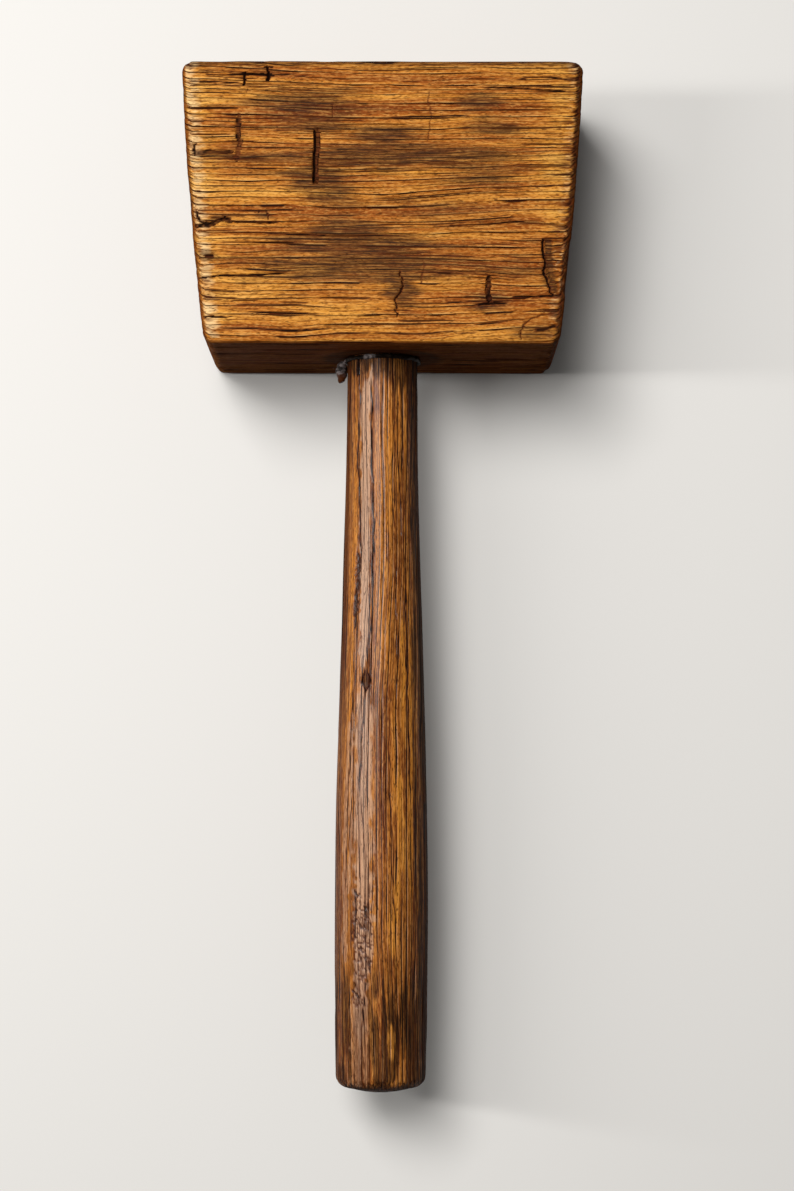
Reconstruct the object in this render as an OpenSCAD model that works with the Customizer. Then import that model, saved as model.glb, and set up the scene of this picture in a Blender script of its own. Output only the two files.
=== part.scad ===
// Carpenter's mallet: a solid oiled hardwood head on a turned handle.
// It lies on the back of its head: X runs along the head's grain, from one striking face to the other,
// Y runs up the handle to the crown, and Z points up out of the front of the head.
// The origin is the centre of the head's back. All lengths are millimetres and all slopes are degrees.

/* [Head] */
// Width of the head along its crown, corner to corner
head_w = 141; // [115:1:170]
// Height of the head, from its underside to its crown
head_h = 100; // [80:0.5:120]
// Thickness of the head, from back to front
head_t = 68; // [50:1:85]
// Slope of each striking face, in degrees
face_slope = 4.9; // [0:0.1:8]
// How far use has left each striking face swollen at mid height
face_bulge = 1; // [0:0.1:2]
// Radius of the worn edges of both striking faces
side_edge_r = 4.25; // [4:0.25:8]
// Radius of the edges at the crown
crown_edge_r = 3; // [1:0.25:4]
// Radius of the crisper edges at the underside
under_edge_r = 2; // [1:0.25:4]
// Radius of the flat front's corners at the crown, inside the worn edges
crown_corner_r = 1.75; // [0.5:0.25:8]
// Radius of the flat front's corners at the underside, inside the worn edges
under_corner_r = 0.75; // [0.5:0.25:6]

/* [Handle] */
// Length of the handle below the head, to the tip of its butt
handle_l = 259.5; // [210:0.5:300]
// Diameter of the neck where it meets the head
neck_d = 25.2; // [20:0.1:29]
// Diameter of the grip at its fullest
grip_d = 33.1; // [29:0.1:38]
// Distance from the head to the fullest part of the grip
grip_at = 198; // [150:1:209]
// Diameter of the butt before its rim is rounded
butt_d = 31.7; // [24:0.1:36]
// Radius of the butt's rim
butt_rim_r = 4.5; // [2:0.5:8]
// Rise of the domed end of the butt
butt_dome = 1.8; // [0.5:0.1:5]

/* [Wedged tenon] */
// Width of the shoulder between the neck and the tenon
shoulder_w = 0.8; // [0.4:0.1:2]
// Distance between the two saw cuts in the tenon
kerf_pitch = 9; // [6:0.5:10]
// Width of each saw cut before it is wedged
kerf_w = 1.2; // [0.8:0.1:2]
// Length of each saw cut, down from the crown
kerf_l = 66; // [58:1:72]
// Thickness of each wedge at the crown
wedge_t = 3.4; // [2.4:0.1:4.5]
// Length of each wedge
wedge_l = 48; // [30:1:56]
// Gap that the glue fills round the tenon and the wedges
glue_gap = 0.1; // [0.05:0.05:0.3]

/* [Glue bead] */
// Reach of the squeezed-out glue beyond the neck
bead_w = 1.3; // [0.8:0.1:3]
// Height of the squeezed-out glue, down from the underside
bead_h = 2.5; // [1.4:0.1:5]
// Diameter of the hardened drip at the left of the neck
drip_d = 4.4; // [4:0.1:7]
// Distance of the drip's middle from the neck
drip_stand = 2; // [0:0.1:2]
// Length of the drip, down from the underside
drip_l = 9; // [8:0.1:16]
// Clearance between the hardened glue and the wood
bead_gap = 0.05; // [0.02:0.01:0.1]

/* [Hidden] */
$fn = 96;

crown_y = head_h / 2;
under_y = -head_h / 2;
axis_z = head_t / 2;

// Outer radius of the head's corners, seen from the front
crown_turn_r = side_edge_r + crown_corner_r;
under_turn_r = side_edge_r + under_corner_r;

tenon_d = neck_d - 2 * shoulder_w;
eye_d = tenon_d + 2 * glue_gap;
kerf_root_y = crown_y - kerf_l;
wedge_tip_y = crown_y - wedge_l;
spread = wedge_t - kerf_w;

// Cuts reach this far past the faces that they open
past = 1;

function mix(a, b, t) = a + (b - a) * t;

// Distance from the head's middle to a striking face, at a height y
function face_x(y) =
    head_w / 2 - (crown_y - y) * tan(face_slope) + face_bulge * (1 - pow(y / crown_y, 2));

// Sideways spread of the tenon's outer fingers, at a height y above the root of the saw cuts
function spread_at(y) = spread * (y - kerf_root_y) / kerf_l;

// The two sides of a wedged saw cut: the inner one stays straight, the outer one leans out
kerf_inner_x = (kerf_pitch - kerf_w) / 2;
function kerf_outer_x(y) = (kerf_pitch + kerf_w) / 2 + spread_at(y);

// Each wedge is as wide as the flared eye is where the wedge's outer side meets the crown
wedge_w = eye_d * sqrt(1 - pow(kerf_outer_x(crown_y) / (eye_d / 2 + spread), 2)) - 2 * glue_gap;

// Handle radius at a distance s from the head: a slow swell to the grip, then a slight fall to the butt
function handle_r(s) = s < grip_at
    ? mix(neck_d, grip_d, (1 - cos(180 * s / grip_at)) / 2) / 2
    : mix(grip_d, butt_d, pow((s - grip_at) / (handle_l - grip_at), 2)) / 2;

// Puts a shape turned about its own Z on the handle's axis, its zero at the underside and its Z to the butt
module on_handle_axis() {
    translate([0, under_y, axis_z])
        rotate([90, 0, 0])
            children();
}

// A rounded post that stands through the head at a height y, at a distance inset from the striking face
module post(y, turn_r, edge_r, inset) {
    translate([face_x(y) - turn_r / cos(face_slope) - inset, y, 0])
        rotate_extrude($fn = 32)
            polygon(concat(
                [[0, 0]],
                [for (a = [-90:15:0]) [turn_r - edge_r + edge_r * cos(a), edge_r + edge_r * sin(a)]],
                [for (a = [0:15:90]) [turn_r - edge_r + edge_r * cos(a), head_t - edge_r + edge_r * sin(a)]],
                [[0, head_t]]
            ));
}

// The head before its eye is cut. A row of posts shapes each sloping, slightly swollen striking face and its
// rounder edges. Posts further in, with less worn edges, shape the crown and the underside.
module head_block() {
    stations = 6;
    high_y = crown_y - crown_turn_r;
    low_y = under_y + under_turn_r;
    hull()
        for (side = [0, 1])
            mirror([side, 0, 0]) {
                for (i = [0:stations])
                    post(
                        mix(high_y, low_y, i / stations),
                        mix(crown_turn_r, under_turn_r, i / stations),
                        side_edge_r,
                        0
                    );
                post(high_y, crown_turn_r, crown_edge_r, side_edge_r - crown_edge_r);
                post(low_y, under_turn_r, under_edge_r, side_edge_r - under_edge_r);
            }
}

// The eye and the tenon share this form: round from the underside to the root of the saw cuts,
// then flared along the grain of the head up to the crown
module eye_form(d, from_y, to_y) {
    translate([0, from_y, axis_z])
        rotate([-90, 0, 0])
            cylinder(d = d, h = kerf_root_y - from_y);
    translate([0, kerf_root_y, axis_z])
        rotate([-90, 0, 0])
            linear_extrude(height = to_y - kerf_root_y, scale = [1 + 2 * spread_at(to_y) / d, 1], slices = 1)
                circle(d = d);
}

// The turned handle below the head
module turned_handle() {
    body_steps = 28;
    rim_steps = 6;
    dome_steps = 5;
    rim_y = handle_l - butt_dome - butt_rim_r;
    dome_r = handle_r(rim_y) - butt_rim_r;
    on_handle_axis()
        rotate_extrude()
            polygon(concat(
                [[0, 0]],
                [for (i = [0:body_steps]) [handle_r(rim_y * i / body_steps), rim_y * i / body_steps]],
                [for (i = [1:rim_steps]) let (a = 90 * i / rim_steps)
                    [dome_r + butt_rim_r * cos(a), rim_y + butt_rim_r * sin(a)]],
                [for (i = [1:dome_steps]) let (t = 1 - i / dome_steps)
                    [dome_r * t, handle_l - butt_dome * t * t]]
            ));
}

// One saw cut through the tenon, spread by its wedge
module wedged_kerf() {
    top_y = crown_y + past;
    translate([0, 0, axis_z - tenon_d])
        linear_extrude(height = 2 * tenon_d)
            polygon([
                [kerf_inner_x, kerf_root_y],
                [kerf_outer_x(kerf_root_y), kerf_root_y],
                [kerf_outer_x(top_y), top_y],
                [kerf_inner_x, top_y]
            ]);
}

// One hardwood wedge, driven into a saw cut and trimmed flush with the crown
module wedge() {
    translate([0, 0, axis_z - wedge_w / 2])
        linear_extrude(height = wedge_w)
            polygon([
                [kerf_inner_x + glue_gap, wedge_tip_y],
                [kerf_outer_x(wedge_tip_y) - glue_gap, wedge_tip_y],
                [kerf_outer_x(crown_y) - glue_gap, crown_y],
                [kerf_inner_x + glue_gap, crown_y]
            ]);
}

module head() {
    color("#b8752e")
        difference() {
            head_block();
            eye_form(eye_d, under_y - past, crown_y + past);
        }
}

module handle() {
    color("#8a4b22") {
        turned_handle();
        difference() {
            eye_form(tenon_d, under_y, crown_y);
            for (side = [0, 1])
                mirror([side, 0, 0])
                    wedged_kerf();
        }
    }
}

module wedge_left() {
    color("#6e3a1c")
        mirror([1, 0, 0])
            wedge();
}

module wedge_right() {
    color("#6e3a1c")
        wedge();
}

// Hardened glue: a ring in the corner between neck and underside, with one drip run down the left of the neck
module glue_bead() {
    drip_r = drip_d / 2;
    color("#3a2416")
        difference() {
            on_handle_axis() {
                rotate_extrude()
                    polygon(concat(
                        [[0, 0]],
                        [for (a = [0:10:90]) [neck_d / 2 + bead_w * cos(a), bead_h * sin(a)]],
                        [[0, bead_h]]
                    ));
                hull()
                    for (s = [drip_r, drip_l - drip_r])
                        translate([-neck_d / 2 - drip_stand, 0, s])
                            sphere(r = drip_r, $fn = 32);
            }
            glue_seat();
        }
}

// The neck and the shoulder's mouth, which the hardened glue lies round with its clearance
module glue_seat() {
    seat_h = drip_l + past;
    steps = 6;
    on_handle_axis()
        rotate_extrude()
            polygon(concat(
                [[0, -past]],
                [[neck_d / 2 + bead_gap, -past]],
                [for (i = [0:steps]) [handle_r(seat_h * i / steps) + bead_gap, seat_h * i / steps]],
                [[0, seat_h]]
            ));
}

head();
handle();
wedge_left();
wedge_right();
glue_bead();
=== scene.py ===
import math
import random
from collections import namedtuple
from itertools import product

import bmesh
import bpy
import numpy as np
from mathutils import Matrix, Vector


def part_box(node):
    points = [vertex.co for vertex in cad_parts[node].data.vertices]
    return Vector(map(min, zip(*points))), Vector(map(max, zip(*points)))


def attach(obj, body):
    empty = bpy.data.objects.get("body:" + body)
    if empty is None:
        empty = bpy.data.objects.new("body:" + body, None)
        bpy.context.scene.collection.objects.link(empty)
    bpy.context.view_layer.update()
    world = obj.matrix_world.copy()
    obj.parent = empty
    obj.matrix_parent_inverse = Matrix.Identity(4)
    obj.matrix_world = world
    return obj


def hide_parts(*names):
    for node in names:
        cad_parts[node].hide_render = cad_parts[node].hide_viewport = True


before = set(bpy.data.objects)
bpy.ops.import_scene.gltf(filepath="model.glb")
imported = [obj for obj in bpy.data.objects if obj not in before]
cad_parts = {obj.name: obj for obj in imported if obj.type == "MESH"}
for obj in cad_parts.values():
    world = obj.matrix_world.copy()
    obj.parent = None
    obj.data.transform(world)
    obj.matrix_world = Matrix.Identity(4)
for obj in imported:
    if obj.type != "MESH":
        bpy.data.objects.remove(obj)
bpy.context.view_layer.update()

# Lengths are in millimetres and angles in degrees where nothing else is said. MM turns them to metres.
MM = 0.001

# Camera: where the outline of the head and the handle put it
PHOTO_H = 1191
FOCAL_PX = 2731
CAMERA_AT = (5.5, -211, 1002)
CAMERA_TILT = 4.5
CAMERA_ROLL = 0.1

# Head
HEAD_LOW, HEAD_HIGH = [np.array(corner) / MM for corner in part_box("head")]
HEAD_H = HEAD_HIGH[1] - HEAD_LOW[1]
HEAD_T = HEAD_HIGH[2] - HEAD_LOW[2]
CROWN_Y, UNDER_Y = HEAD_HIGH[1], HEAD_LOW[1]
AXIS_Z = HEAD_T / 2
# 0.2 mm less than the solid's, to keep the crisper corners inside its box
CROWN_W = 140.8
FACE_SLOPE = 4.9
FACE_BULGE = 1
CROWN_CORNER_R, UNDER_CORNER_R = 4.3, 4.2
SIDE_EDGE_R = 3.4
CROWN_EDGE_R, UNDER_EDGE_R = 2.8, 1.8
HEAD_STRIPS = (72, 124, 68)
FINE_EDGE_W = 8
BLOWS = 46
HEAD_PITH = (-118, -52)
HEAD_RING = 1.5

# Handle
HANDLE_L = UNDER_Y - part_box("handle")[0].y / MM
NECK_D = 25.2
NECK_R = NECK_D / 2
GRIP_D = 33.1
GRIP_AT = 198
BUTT_D = 31.7
BUTT_RIM_R = 4.5
BUTT_DOME = 1.8
RIM_AT = HANDLE_L - BUTT_DOME - BUTT_RIM_R
HANDLE_SIDES = 340
HANDLE_RINGS = 180
HANDLE_PITH = (-150, AXIS_Z)
HANDLE_RING = 1.45

# The butt's insets: the first ones become its rim, the rest its dome
RIM_INSETS = 8
DOME_INSETS = 10
RIM_SHARE = 0.24

# Wedged tenon
SHOULDER_W = 0.8
TENON_D = NECK_D - 2 * SHOULDER_W
GLUE_GAP = 0.1
KERF_L = 66
KERF_W = 1.2
KERF_PITCH = 9
WEDGE_T = 3.4
SPREAD = WEDGE_T - KERF_W

# Hardened glue
BEAD_W = 0.9
BEAD_H = 1.8
DRIP_D = 4.2
DRIP_STAND = 2
GLUE_CLEARANCE = 0.03
GLUE_VOXEL = 0.24

# Cutters reach PAST the faces that they open. Faces thinner than a SLIVER are cleared.
PAST = 2
SLIVER = 0.002
# Faces that meet at less than this angle are shaded as one curve
SMOOTH_ANGLE = 50

# A cut in the wood: the points that it runs through, its width and depth, how dark it is (1 is black,
# 0.5 is red brown), how much of its width its sloping sides take (1 is a plain V), how far it jogs
# sideways between strands of the grain, and how even its edges are
Cut = namedtuple("Cut", "path width depth tone wall jog even", defaults=(1, 1, 0.7, 0))

# The inner side of the split at the front's right edge, as (x, y) points upwards
CHIP_EDGE = [(59.8, -33.1), (58, -31.6), (57.2, -27.9), (56.4, -24.1), (56, -19.6), (55.7, -13.2)]

# Cracks and nicks in the front, as (x, y) points
FRONT_CUTS = [Cut(*row) for row in [
    ([(-61.5, 44.6), (-46, 44.5), (-29.3, 44.8)], 0.6, 0.5, 0.9),
    ([(-49.4, 44.8), (-38.3, 44.9)], 1.2, 0.8),
    ([(-47.3, 45.4), (-47.6, 40.6)], 1.6, 1.4),
    ([(-47.2, 40.6), (-47.3, 38.2)], 0.6, 0.3, 0.5),
    ([(-40, 47.8), (-39.9, 45.4), (-39.3, 42.4)], 1.6, 1.4),
    ([(-41.4, 47.3), (-38, 47.4)], 0.9, 0.7),
    ([(-50.1, 30.6), (-49.7, 21.6)], 2.2, 0.6, 0.8, 0.3, 0.3, 0.5),
    ([(-49.8, 21.8), (-50, 14)], 2.2, 0.3, 0.55, 0.5, 0.9),
    ([(-65.2, 20.2), (-65.3, 16.6)], 1.4, 1),
    ([(-66.2, 16.6), (-62.5, 16.9), (-51.5, 17.4)], 2.2, 0.5, 0.85, 0.4),
    ([(-22.5, 25.4), (-22.5, 17.8), (-22.9, 6.6)], 2.2, 0.7, 0.72, 0.2, 0.05, 0.8),
    ([(-23.5, 25.2), (-23.4, 17.8), (-23.9, 6)], 1.3, 2, 1, 1, 0.05, 0.7),
    ([(-17, 34.3), (-17.2, 29.2)], 0.6, 0.4, 0.6),
    ([(-15.9, 33.6), (-16, 29.6)], 0.5, 0.3, 0.55),
    ([(16.4, 38.9), (16.8, 29.2), (15.9, 21)], 0.7, 0.35, 0.5),
    ([(-65.2, -3.4), (-64.6, -5.6), (-62.8, -7.4), (-58.6, -8)], 1.2, 1, 0.95),
    ([(-65, -8.6), (-60, -8.8), (-57, -7.2), (-54.8, -6.2), (-52, -7.4)], 2.2, 0.8, 0.9, 0.5),
    ([(-53, -7.2), (-42.6, -7.7), (-36, -7.5)], 0.9, 0.6, 0.95),
    ([(-43.3, -4.4), (-42.3, -3.2), (-40.7, -3.2), (-39.8, -4.8), (-39, -6.8)], 0.8, 0.5, 0.75),
    ([(-61.9, -19.3), (-58.6, -19.2)], 1.6, 0.7, 0.8),
    ([(-63.2, -27.2), (-54.8, -26.2), (-42.1, -26), (-33.1, -25.3)], 0.9, 0.8),
    ([(-62, -40.6), (-52.4, -40.8)], 0.9, 0.7),
    ([(6.5, -24), (7.6, -29.9), (4.8, -34.7), (5.7, -40.6)], 1.1, 0.8, 0.85),
    ([(14.6, -20.3), (13.6, -28.9)], 0.7, 0.3, 0.5),
    ([(37.6, -26.2), (36.9, -30.4), (37.2, -35.4)], 2.3, 0.9, 0.88, 0.3, 0.4, 0.5),
    ([(32, -36.4), (37.2, -35.9), (42.5, -35.7)], 1.5, 0.7, 0.95),
    ([(44.6, -33.5), (59.4, -33.2)], 0.9, 0.7, 0.95),
    (CHIP_EDGE[::-1], 1.2, 1.2),
    ([(55.8, -13.4), (62.7, -14.2)], 0.6, 0.5, 0.8),
    ([(61.4, -38.7), (55.7, -39.8), (51.6, -41.1), (49.4, -43.6), (48.6, -45.8), (48.9, -48.9)],
        0.9, 0.6, 0.6),
    ([(53.3, -45.4), (56.9, -44.8), (60.6, -43.5)], 1.9, 0.7, 0.85),
    ([(47.4, 42.8), (51.3, 43.9), (57.8, 44), (67.1, 42.7)], 0.8, 0.6, 0.9),
    ([(35.2, 40.2), (43.3, 40.2), (49.7, 39.8), (57.1, 39.2), (65, 39)], 0.8, 0.7, 0.95),
]]

# Grain lines that have opened on the front, as (x from, x to, y)
FRONT_LINES = [
    (-64, -28.5, 41.1), (-67, -47.6, 38), (-39, -20, 39), (-68.6, -49.8, 32.4), (-68.8, -62, 27.8),
    (-66.6, -51.4, 23.2), (-61.4, -49, -31.9), (-52.1, -42.4, -35.2), (-47.5, -21.3, -39.3),
    (-36.8, -17.8, -45.7), (-23, -2.2, -34.2), (4.6, 25.5, -41.9), (32, 42.7, -43), (26.5, 32, -46.4),
    (27.2, 40.1, 43.2), (47.8, 66.1, 33.1), (27.2, 66.1, 25.4), (46.4, 65.7, 12.9), (-3.1, 44.5, 2.2),
    (-20, 18, 10.5), (-8, 30, 46.4), (-36, 4, -12.5), (20, 52, -8), (-58, -30, -14.8),
]

# Patches on the front soaked with dirt and old oil: x, y, reach in x, reach in y, strength
FRONT_SOOT = [
    (-4, 15.5, 64, 6, 0.95), (-27, 35, 26, 6.5, 0.95), (-21, 27, 18, 5.5, 0.75), (0, 23, 16, 6, 0.8),
    (33, 34.5, 12, 5, 0.8), (38, 26, 12, 6, 0.8), (-23, 9, 14, 9, 0.95), (-17, 2, 13, 8, 0.8),
    (34, 9, 24, 6.5, 0.75), (-13, -10, 16, 8, 1), (-4, -16.5, 36, 5.5, 1), (0, -23, 58, 6.5, 1),
    (7, -31, 6.5, 10, 0.85), (37, -35, 9, 4, 0.9), (20, -2, 40, 10, 0.45), (-61, -19.3, 4.5, 2.5, 0.9),
    (60, -25, 6, 12, 0.8), (54, -45, 14, 5, 0.65), (-40, 45, 10, 3, 0.5), (-50, 22, 3, 10, 0.6),
    (-56.5, -6, 5, 1.8, 0.8), (-41, -5, 4, 2.4, 0.7),
]

# Patches that rubbing keeps bright, in the same form. The row along the left edge is also a painted
# highlight.
FRONT_RUBBED = [
    (-52, 42, 18, 9, 0.9), (-54, 28, 12, 7, 0.8), (-50, 4, 16, 8, 0.7), (-48, -8, 18, 5, 0.5),
    (-50, -31, 24, 6, 1), (-14, -41, 26, 7, 0.9), (28, -42, 22, 5, 0.7), (54, 42, 20, 8, 0.8),
    (58, 30, 9, 10, 0.8), (57, 2, 8, 12, 0.9), (8, 4, 16, 4, 0.5), (24, -29, 12, 4, 0.8),
    # Along the left edge: rubbed wood and a painted highlight
    (-66, 34, 10, 15, 2.5), (-64, 8, 9, 16, 2), (-61, -16, 9, 16, 1.4), (-59, -38, 10, 12, 1.5),
    (63, 34, 9, 15, 2.2), (61, 12, 8, 12, 2), (60, -6, 6, 8, 1.8),
]

# Lines and scars on the handle, as (angle from the front, distance from the head) points
HANDLE_CUTS = [Cut(*row) for row in [
    ([(-19.5, 9), (-15.5, 17.6), (-17.1, 23.6), (-15.3, 43.4), (-12.3, 55.6), (-13.1, 85.5),
      (-14.5, 97.4), (-18.1, 102.6), (-19.8, 112)], 0.95, 0.4, 1),
    ([(-22.5, 118), (-23, 129.5), (-26.6, 138.2), (-28.5, 152)], 0.8, 0.35, 0.95),
    ([(-41, 3), (-37.1, 20.7), (-41.9, 32.7), (-39.2, 43.1), (-33, 72.5)], 0.9, 0.4, 0.95),
    ([(-37.9, 113), (-43.9, 129.4), (-45.6, 157.3), (-49.8, 190)], 0.7, 0.3, 0.95),
    ([(37, 80), (38.4, 129.4), (40.3, 160)], 0.8, 0.35, 0.95),
    ([(34, 20), (35.9, 73.1), (39.6, 90)], 0.5, 0.25, 0.9),
    ([(18.3, 6), (21.9, 34.2), (18.2, 62)], 0.5, 0.25, 0.9),
    ([(10, 128), (12.1, 173.3), (16.8, 196)], 0.5, 0.25, 0.9),
    ([(-29.7, 122.5), (-29.3, 149.7), (-27.1, 187)], 0.45, 0.2, 0.85),
    ([(-37, 71), (-38.7, 83.7), (-40.4, 97)], 2.4, 0.5, 0.8, 0.6),
    ([(-44, 0.5), (-43.5, 7.5)], 2.4, 0.3, 0.95, 0.8),
    ([(-36, 112.5), (-30, 116.2), (-27.5, 117)], 0.5, 0.2, 0.8),
    ([(-34.6, 188.9), (-30.1, 191), (-26, 190)], 1.2, 0.4, 0.8),
    ([(-33.5, 190), (-31, 197), (-32, 206)], 0.8, 0.3, 0.9),
    ([(-38.7, 223.1), (-27, 225.7)], 1.3, 0.5, 0.8),
]]

# Where the handle's skin has crackled: angle, distance from the head, and the reach of each
CRACKLED = [(-25, 205, 15, 19), (-38.7, 84, 7, 14), (-30, 225, 10, 4)]

# A small knot on the handle: its angle and distance from the head, its width and length
KNOT_AT = (-21.5, 115.6)
KNOT_SIZE = (3.6, 7.6)

# Streaks down the handle, pale ones that are mostly a painted sheen with some wear, and golden ones:
# (angle, distance) points, width and strength
HANDLE_PALE = [
    ([(-27, 9), (-26, 60), (-25, 112)], 6.5, 0.75), ([(-24, 118), (-22, 160), (-22, 205)], 11, 0.66),
    ([(-16, 5), (-19, 10), (-22, 18)], 2.2, 1.3), ([(-40, 128), (-42, 190)], 2.4, 0.55),
    ([(-27, 200), (-25, 222), (-27, 240)], 8, 0.6), ([(-33, 225), (-31, 258)], 9, 0.45),
    ([(-20, 226), (-19, 256)], 4, 0.45), ([(-46, 130), (-50, 172), (-50, 215)], 5, 0.5),
]
HANDLE_GOLD = [
    ([(8, 12), (9, 60), (4, 120)], 6, 1), ([(28, 12), (29, 70)], 3, 1), ([(14.3, 236), (14.3, 246)], 4, 3),
    ([(22, 146), (25.7, 173), (15.4, 200), (12.5, 211)], 5, 2.6), ([(31, 95), (33, 140)], 3, 1.4),
    ([(41, 8), (42, 100), (40, 190)], 2.6, 1.6), ([(58, 10), (61, 120)], 1.6, 1.4),
    ([(66, 60), (68, 210)], 1.8, 1.2), ([(54, 120), (55, 225)], 1.6, 1.2),
    ([(-45, 6), (-46, 90)], 2.4, 0.6), ([(-8, 20), (-6, 100)], 3, 0.8),
]


def colour(code):
    """A linear colour from an sRGB hex code."""
    parts = [int(code[i:i + 2], 16) / 255 for i in (1, 3, 5)]
    return [c / 12.92 if c <= 0.04045 else ((c + 0.055) / 1.055) ** 2.4 for c in parts] + [1]


def mix(a, b, t):
    return a + (b - a) * t


def smooth(low, high, x):
    """0 below low, 1 above high, and an easy curve between."""
    t = np.clip((x - low) / (high - low), 0, 1)
    return t * t * (3 - 2 * t)


def lattice(ix, iy, iz, seed):
    """A repeatable random value from 0 to 1 at each whole-number point."""
    h = (ix * 374761393 + iy * 668265263 + iz * 1442695041 + seed * 1274126177) & 0xFFFFFFFF
    h = ((h ^ (h >> 13)) * 1274126177) & 0xFFFFFFFF
    return ((h ^ (h >> 16)) & 0xFFFF) / 65535


def noise(p, cell, seed):
    """Smooth random values from 0 to 1 at the points p, with features of the size cell."""
    q = p / np.array(cell)
    low = np.floor(q).astype(np.int64)
    f = q - low
    f = f * f * (3 - 2 * f)
    total = np.zeros(len(p))
    for step in product((0, 1), repeat=3):
        x, y, z = np.abs(1 - np.array(step) - f).T
        total += x * y * z * lattice(*(low + step).T, seed)
    return total


def on_axis(y, x=0):
    """A place on the handle's axis, or x to its side, in metres."""
    return (x * MM, y * MM, AXIS_Z * MM)


def off_axis(p):
    """Each point's distance from the handle's axis."""
    return np.hypot(p[:, 0], p[:, 2] - AXIS_Z)


def angle_round(p):
    """Each point's angle round the handle, from the front."""
    return np.degrees(np.arctan2(p[:, 0], p[:, 2] - AXIS_Z))


# Hand modelling

# Lays a primitive's own Z along the handle
LYING = (math.pi / 2, 0, 0)


def deselect():
    bpy.ops.object.select_all(action="DESELECT")


def take(piece):
    """Selects the piece alone and makes it the active one."""
    deselect()
    piece.select_set(True)
    bpy.context.view_layer.objects.active = piece


def named(name):
    """Names the new primitive and puts its place in its mesh."""
    piece = bpy.context.view_layer.objects.active
    piece.name = piece.data.name = name
    bpy.ops.object.transform_apply(location=True, rotation=True, scale=True)
    return piece


def choose(piece, kind, test):
    """Selects the piece's faces or edges that pass the test, in edit mode."""
    bpy.ops.mesh.select_all(action="DESELECT")
    bpy.ops.mesh.select_mode(type=kind)
    work = bmesh.from_edit_mesh(piece.data)
    for part in (work.faces if kind == "FACE" else work.edges):
        part.select_set(bool(test(part)))
    work.select_flush_mode()
    bmesh.update_edit_mesh(piece.data)


def edit(on=True):
    """Goes into edit mode, or back out of it."""
    bpy.ops.object.mode_set(mode="EDIT" if on else "OBJECT")


def runs_along(edge, axis):
    step = edge.verts[1].co - edge.verts[0].co
    return abs(step[axis]) > 0.99 * step.length


def divide(piece, cuts, test):
    """Divides the piece's edges that pass the test."""
    choose(piece, "EDGE", test)
    bpy.ops.mesh.subdivide(number_cuts=cuts)


def apply_modifier(piece, kind, **settings):
    made = piece.modifiers.new(kind.lower(), kind)
    for name, value in settings.items():
        setattr(made, name, value)
    take(piece)
    bpy.ops.object.modifier_apply(modifier=made.name)


def read(vectors, field):
    flat = np.empty(3 * len(vectors))
    vectors.foreach_get(field, flat)
    return flat.reshape(-1, 3)


def points(piece):
    """The piece's points, in millimetres."""
    return read(piece.data.vertices, "co") / MM


def normals(piece):
    return read(piece.data.vertex_normals, "vector")


def move_points(piece, p):
    piece.data.vertices.foreach_set("co", (p * MM).ravel())
    piece.data.update()


def mark(piece, **layers):
    """Stores a value or a vector for each point, under each name, for the material."""
    for name, values in layers.items():
        values = np.asarray(values, dtype=np.float32)
        kind, field = ("FLOAT", "value") if values.ndim == 1 else ("FLOAT_VECTOR", "vector")
        layer = piece.data.attributes.new(name, kind, "POINT")
        layer.data.foreach_set(field, values.ravel())


def extrude_up(length):
    """Extrudes the chosen faces towards the crown."""
    bpy.ops.mesh.extrude_region_move(TRANSFORM_OT_translate={"value": (0, length * MM, 0)})


def cut_away(piece, cutter):
    """Cuts the cutter out of the piece and clears the faces of no area that this can leave."""
    apply_modifier(piece, "BOOLEAN", object=cutter, operation="DIFFERENCE", solver="EXACT")
    bpy.data.objects.remove(cutter)
    edit()
    choose(piece, "FACE", lambda face: len(face.verts) > 4)
    bpy.ops.mesh.quads_convert_to_tris(quad_method="BEAUTY", ngon_method="BEAUTY")
    bpy.ops.mesh.select_all(action="SELECT")
    bpy.ops.mesh.remove_doubles(threshold=SLIVER * MM)
    bpy.ops.mesh.dissolve_degenerate(threshold=SLIVER * MM)
    edit(False)


# Wood

def grain_of(p, axis, pith, seed):
    """Each point's place in the tree: along the grain, out from the pith and round the pith. The second is
    the same all along a growth ring. The rings wander a little, and their widths vary."""
    first, second = [i for i in (0, 1, 2) if i != axis]
    a, b = p[:, first] - pith[0], p[:, second] - pith[1]
    along = p[:, axis]
    out = np.hypot(a, b)
    turn = np.arctan2(b, a) * 100
    place = np.stack([along, a, b], 1)
    out = out + 3.4 * (noise(place, (60, 24, 24), seed) - 0.5)
    out = out + 0.7 * (noise(place, (16, 5, 5), seed + 1) - 0.5)
    out = out + 1.6 * (noise(np.stack([0 * along, out, 0 * out], 1), (1, 5, 1), seed + 2) - 0.5)
    return np.stack([along, out, turn], 1)


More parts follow.
